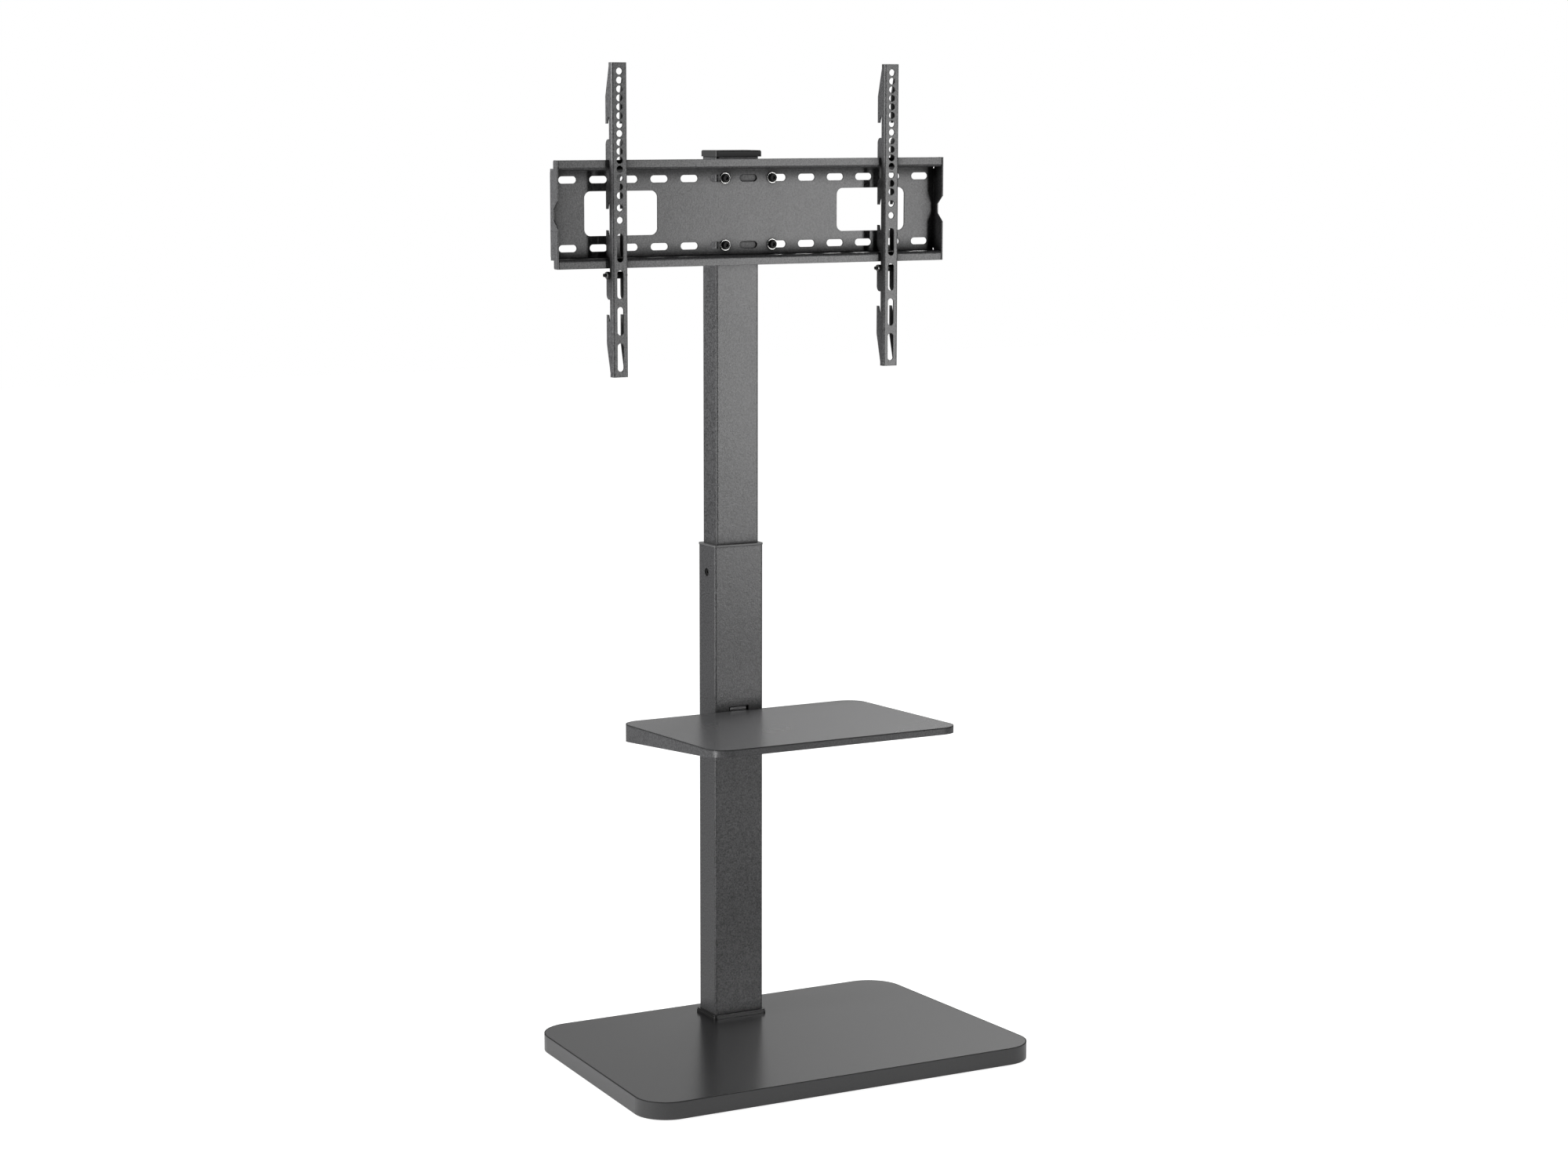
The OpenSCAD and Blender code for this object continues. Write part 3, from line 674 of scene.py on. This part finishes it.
class STAND_OT_studio(bpy.types.Operator):
    """Set up the camera, the lamps, the room light and the pale floor"""

    bl_idname = "stand.studio"
    bl_label = "Set up the studio"

    def execute(self, context):
        scene, studio = context.scene, context.scene.stand_studio
        self.camera(scene, studio)
        self.room(scene, studio)
        self.floor(scene)
        for name, place, aim, width, height, power in LAMPS:
            lamp(name, place, aim, width, height, getattr(studio, power))
        scene.view_settings.view_transform = "Standard"
        return {"FINISHED"}

    def camera(self, scene, studio):
        """Puts the camera where the photograph was taken from"""
        yaw, pitch, roll = studio.yaw, studio.pitch, studio.roll
        back = Vector(
            (math.sin(yaw) * math.cos(pitch), -math.cos(yaw) * math.cos(pitch), math.sin(pitch))
        )
        level = Vector((math.cos(yaw), math.sin(yaw), 0))
        up = back.cross(level)
        right = math.cos(roll) * level + math.sin(roll) * up
        upright = back.cross(right)
        turn = Matrix((right, upright, back)).transposed().to_4x4()
        data = bpy.data.cameras.new("camera")
        data.sensor_width = FILM_WIDTH
        data.lens = studio.focal_pixels / PICTURE_PIXELS * FILM_WIDTH
        data.clip_end = VIEW_END
        camera = bpy.data.objects.new("camera", data)
        camera.matrix_world = Matrix.Translation(studio.camera_place) @ turn
        scene.collection.objects.link(camera)
        scene.camera = camera

    def room(self, scene, studio):
        """White to the camera, dim to the surfaces, and graded where gloss mirrors it"""
        world = bpy.data.worlds.new("room")
        world.use_nodes = True
        scene.world = world
        tree = world.node_tree
        tree.nodes.clear()
        white = (1, 1, 1, 1)
        steps = [axis_step(tree, "Generated", *step) for step in ROOM_STEPS]
        seen = add_node(tree, "ShaderNodeBackground", color=white)
        lit = add_node(tree, "ShaderNodeBackground", color=white, strength=studio.world_light)
        mirrored = add_node(tree, "ShaderNodeBackground", strength=product(tree, *steps))
        path = add_node(tree, "ShaderNodeLightPath").outputs
        glossy = math_node(tree, "MAXIMUM", path["Is Glossy Ray"], path["Is Transmission Ray"])
        light = combine(tree, "ShaderNodeMixShader", glossy, lit.outputs[0], mirrored.outputs[0])
        light = combine(
            tree, "ShaderNodeMixShader", path["Is Camera Ray"], light, seen.outputs[0]
        )
        add_node(tree, "ShaderNodeOutputWorld", surface=light)

    def floor(self, scene):
        """Pale paper that keeps the stand's shadow and is graded where gloss mirrors it"""
        far = FLOOR_HALF
        mesh = bpy.data.meshes.new("floor")
        corners = [(-far, -far, 0), (far, -far, 0), (far, far, 0), (-far, far, 0)]
        mesh.from_pydata(corners, [], [(0, 1, 2, 3)])
        floor = bpy.data.objects.new("floor", mesh)
        scene.collection.objects.link(floor)
        material = bpy.data.materials.new("floor_paper")
        material.use_nodes = True
        tree = material.node_tree
        tree.nodes.clear()
        path = add_node(tree, "ShaderNodeLightPath").outputs
        steps = [axis_step(tree, "Object", *step) for step in FLOOR_STEPS]
        mirrored = product(tree, path["Is Glossy Ray"], *steps)
        place = add_node(tree, "ShaderNodeTexCoord").outputs["Object"]
        distance = add_node(tree, "ShaderNodeVectorMath", operation="LENGTH", vector=place)
        whitened = smooth_step(tree, distance.outputs["Value"], *FLOOR_WHITE)
        direct = math_node(tree, "MAXIMUM", path["Is Camera Ray"], path["Is Transmission Ray"])
        seen = product(tree, direct, whitened)
        glow = add_node(
            tree, "ShaderNodeEmission", color=(1, 1, 1, 1),
            strength=math_node(tree, "MAXIMUM", seen, mirrored),
        )
        paper = add_node(tree, "ShaderNodeBsdfDiffuse", color=(*[FLOOR_PAPER] * 3, 1))
        surface = combine(tree, "ShaderNodeAddShader", paper.outputs[0], glow.outputs[0])
        add_node(tree, "ShaderNodeOutputMaterial", surface=surface)
        mesh.materials.append(material)


OPERATORS = (
    STAND_OT_studio,
    STAND_OT_coated_steel,
    STAND_OT_base_board,
    STAND_OT_moulded_trim,
    STAND_OT_fasteners,
)


class STAND_PT_panel(bpy.types.Panel):
    """Buttons for the stand's finishes and the studio"""

    bl_idname = "STAND_PT_panel"
    bl_label = "Screen Stand"
    bl_space_type = "VIEW_3D"
    bl_region_type = "UI"
    bl_category = "Screen Stand"

    def draw(self, context):
        for operator in OPERATORS:
            self.layout.operator(operator.bl_idname)


CLASSES = (FinishColours, FinishSizes, StudioSettings, *OPERATORS, STAND_PT_panel)


def register():
    for cls in CLASSES:
        bpy.utils.register_class(cls)
    bpy.types.Scene.stand_colours = PointerProperty(type=FinishColours)
    bpy.types.Scene.stand_sizes = PointerProperty(type=FinishSizes)
    bpy.types.Scene.stand_studio = PointerProperty(type=StudioSettings)


def unregister():
    del bpy.types.Scene.stand_studio
    del bpy.types.Scene.stand_sizes
    del bpy.types.Scene.stand_colours
    for cls in reversed(CLASSES):
        bpy.utils.unregister_class(cls)


def main():
    register()
    bpy.ops.stand.studio()
    bpy.ops.stand.coated_steel()
    bpy.ops.stand.base_board()
    bpy.ops.stand.moulded_trim()
    bpy.ops.stand.fasteners()


if __name__ == "__main__":
    main()
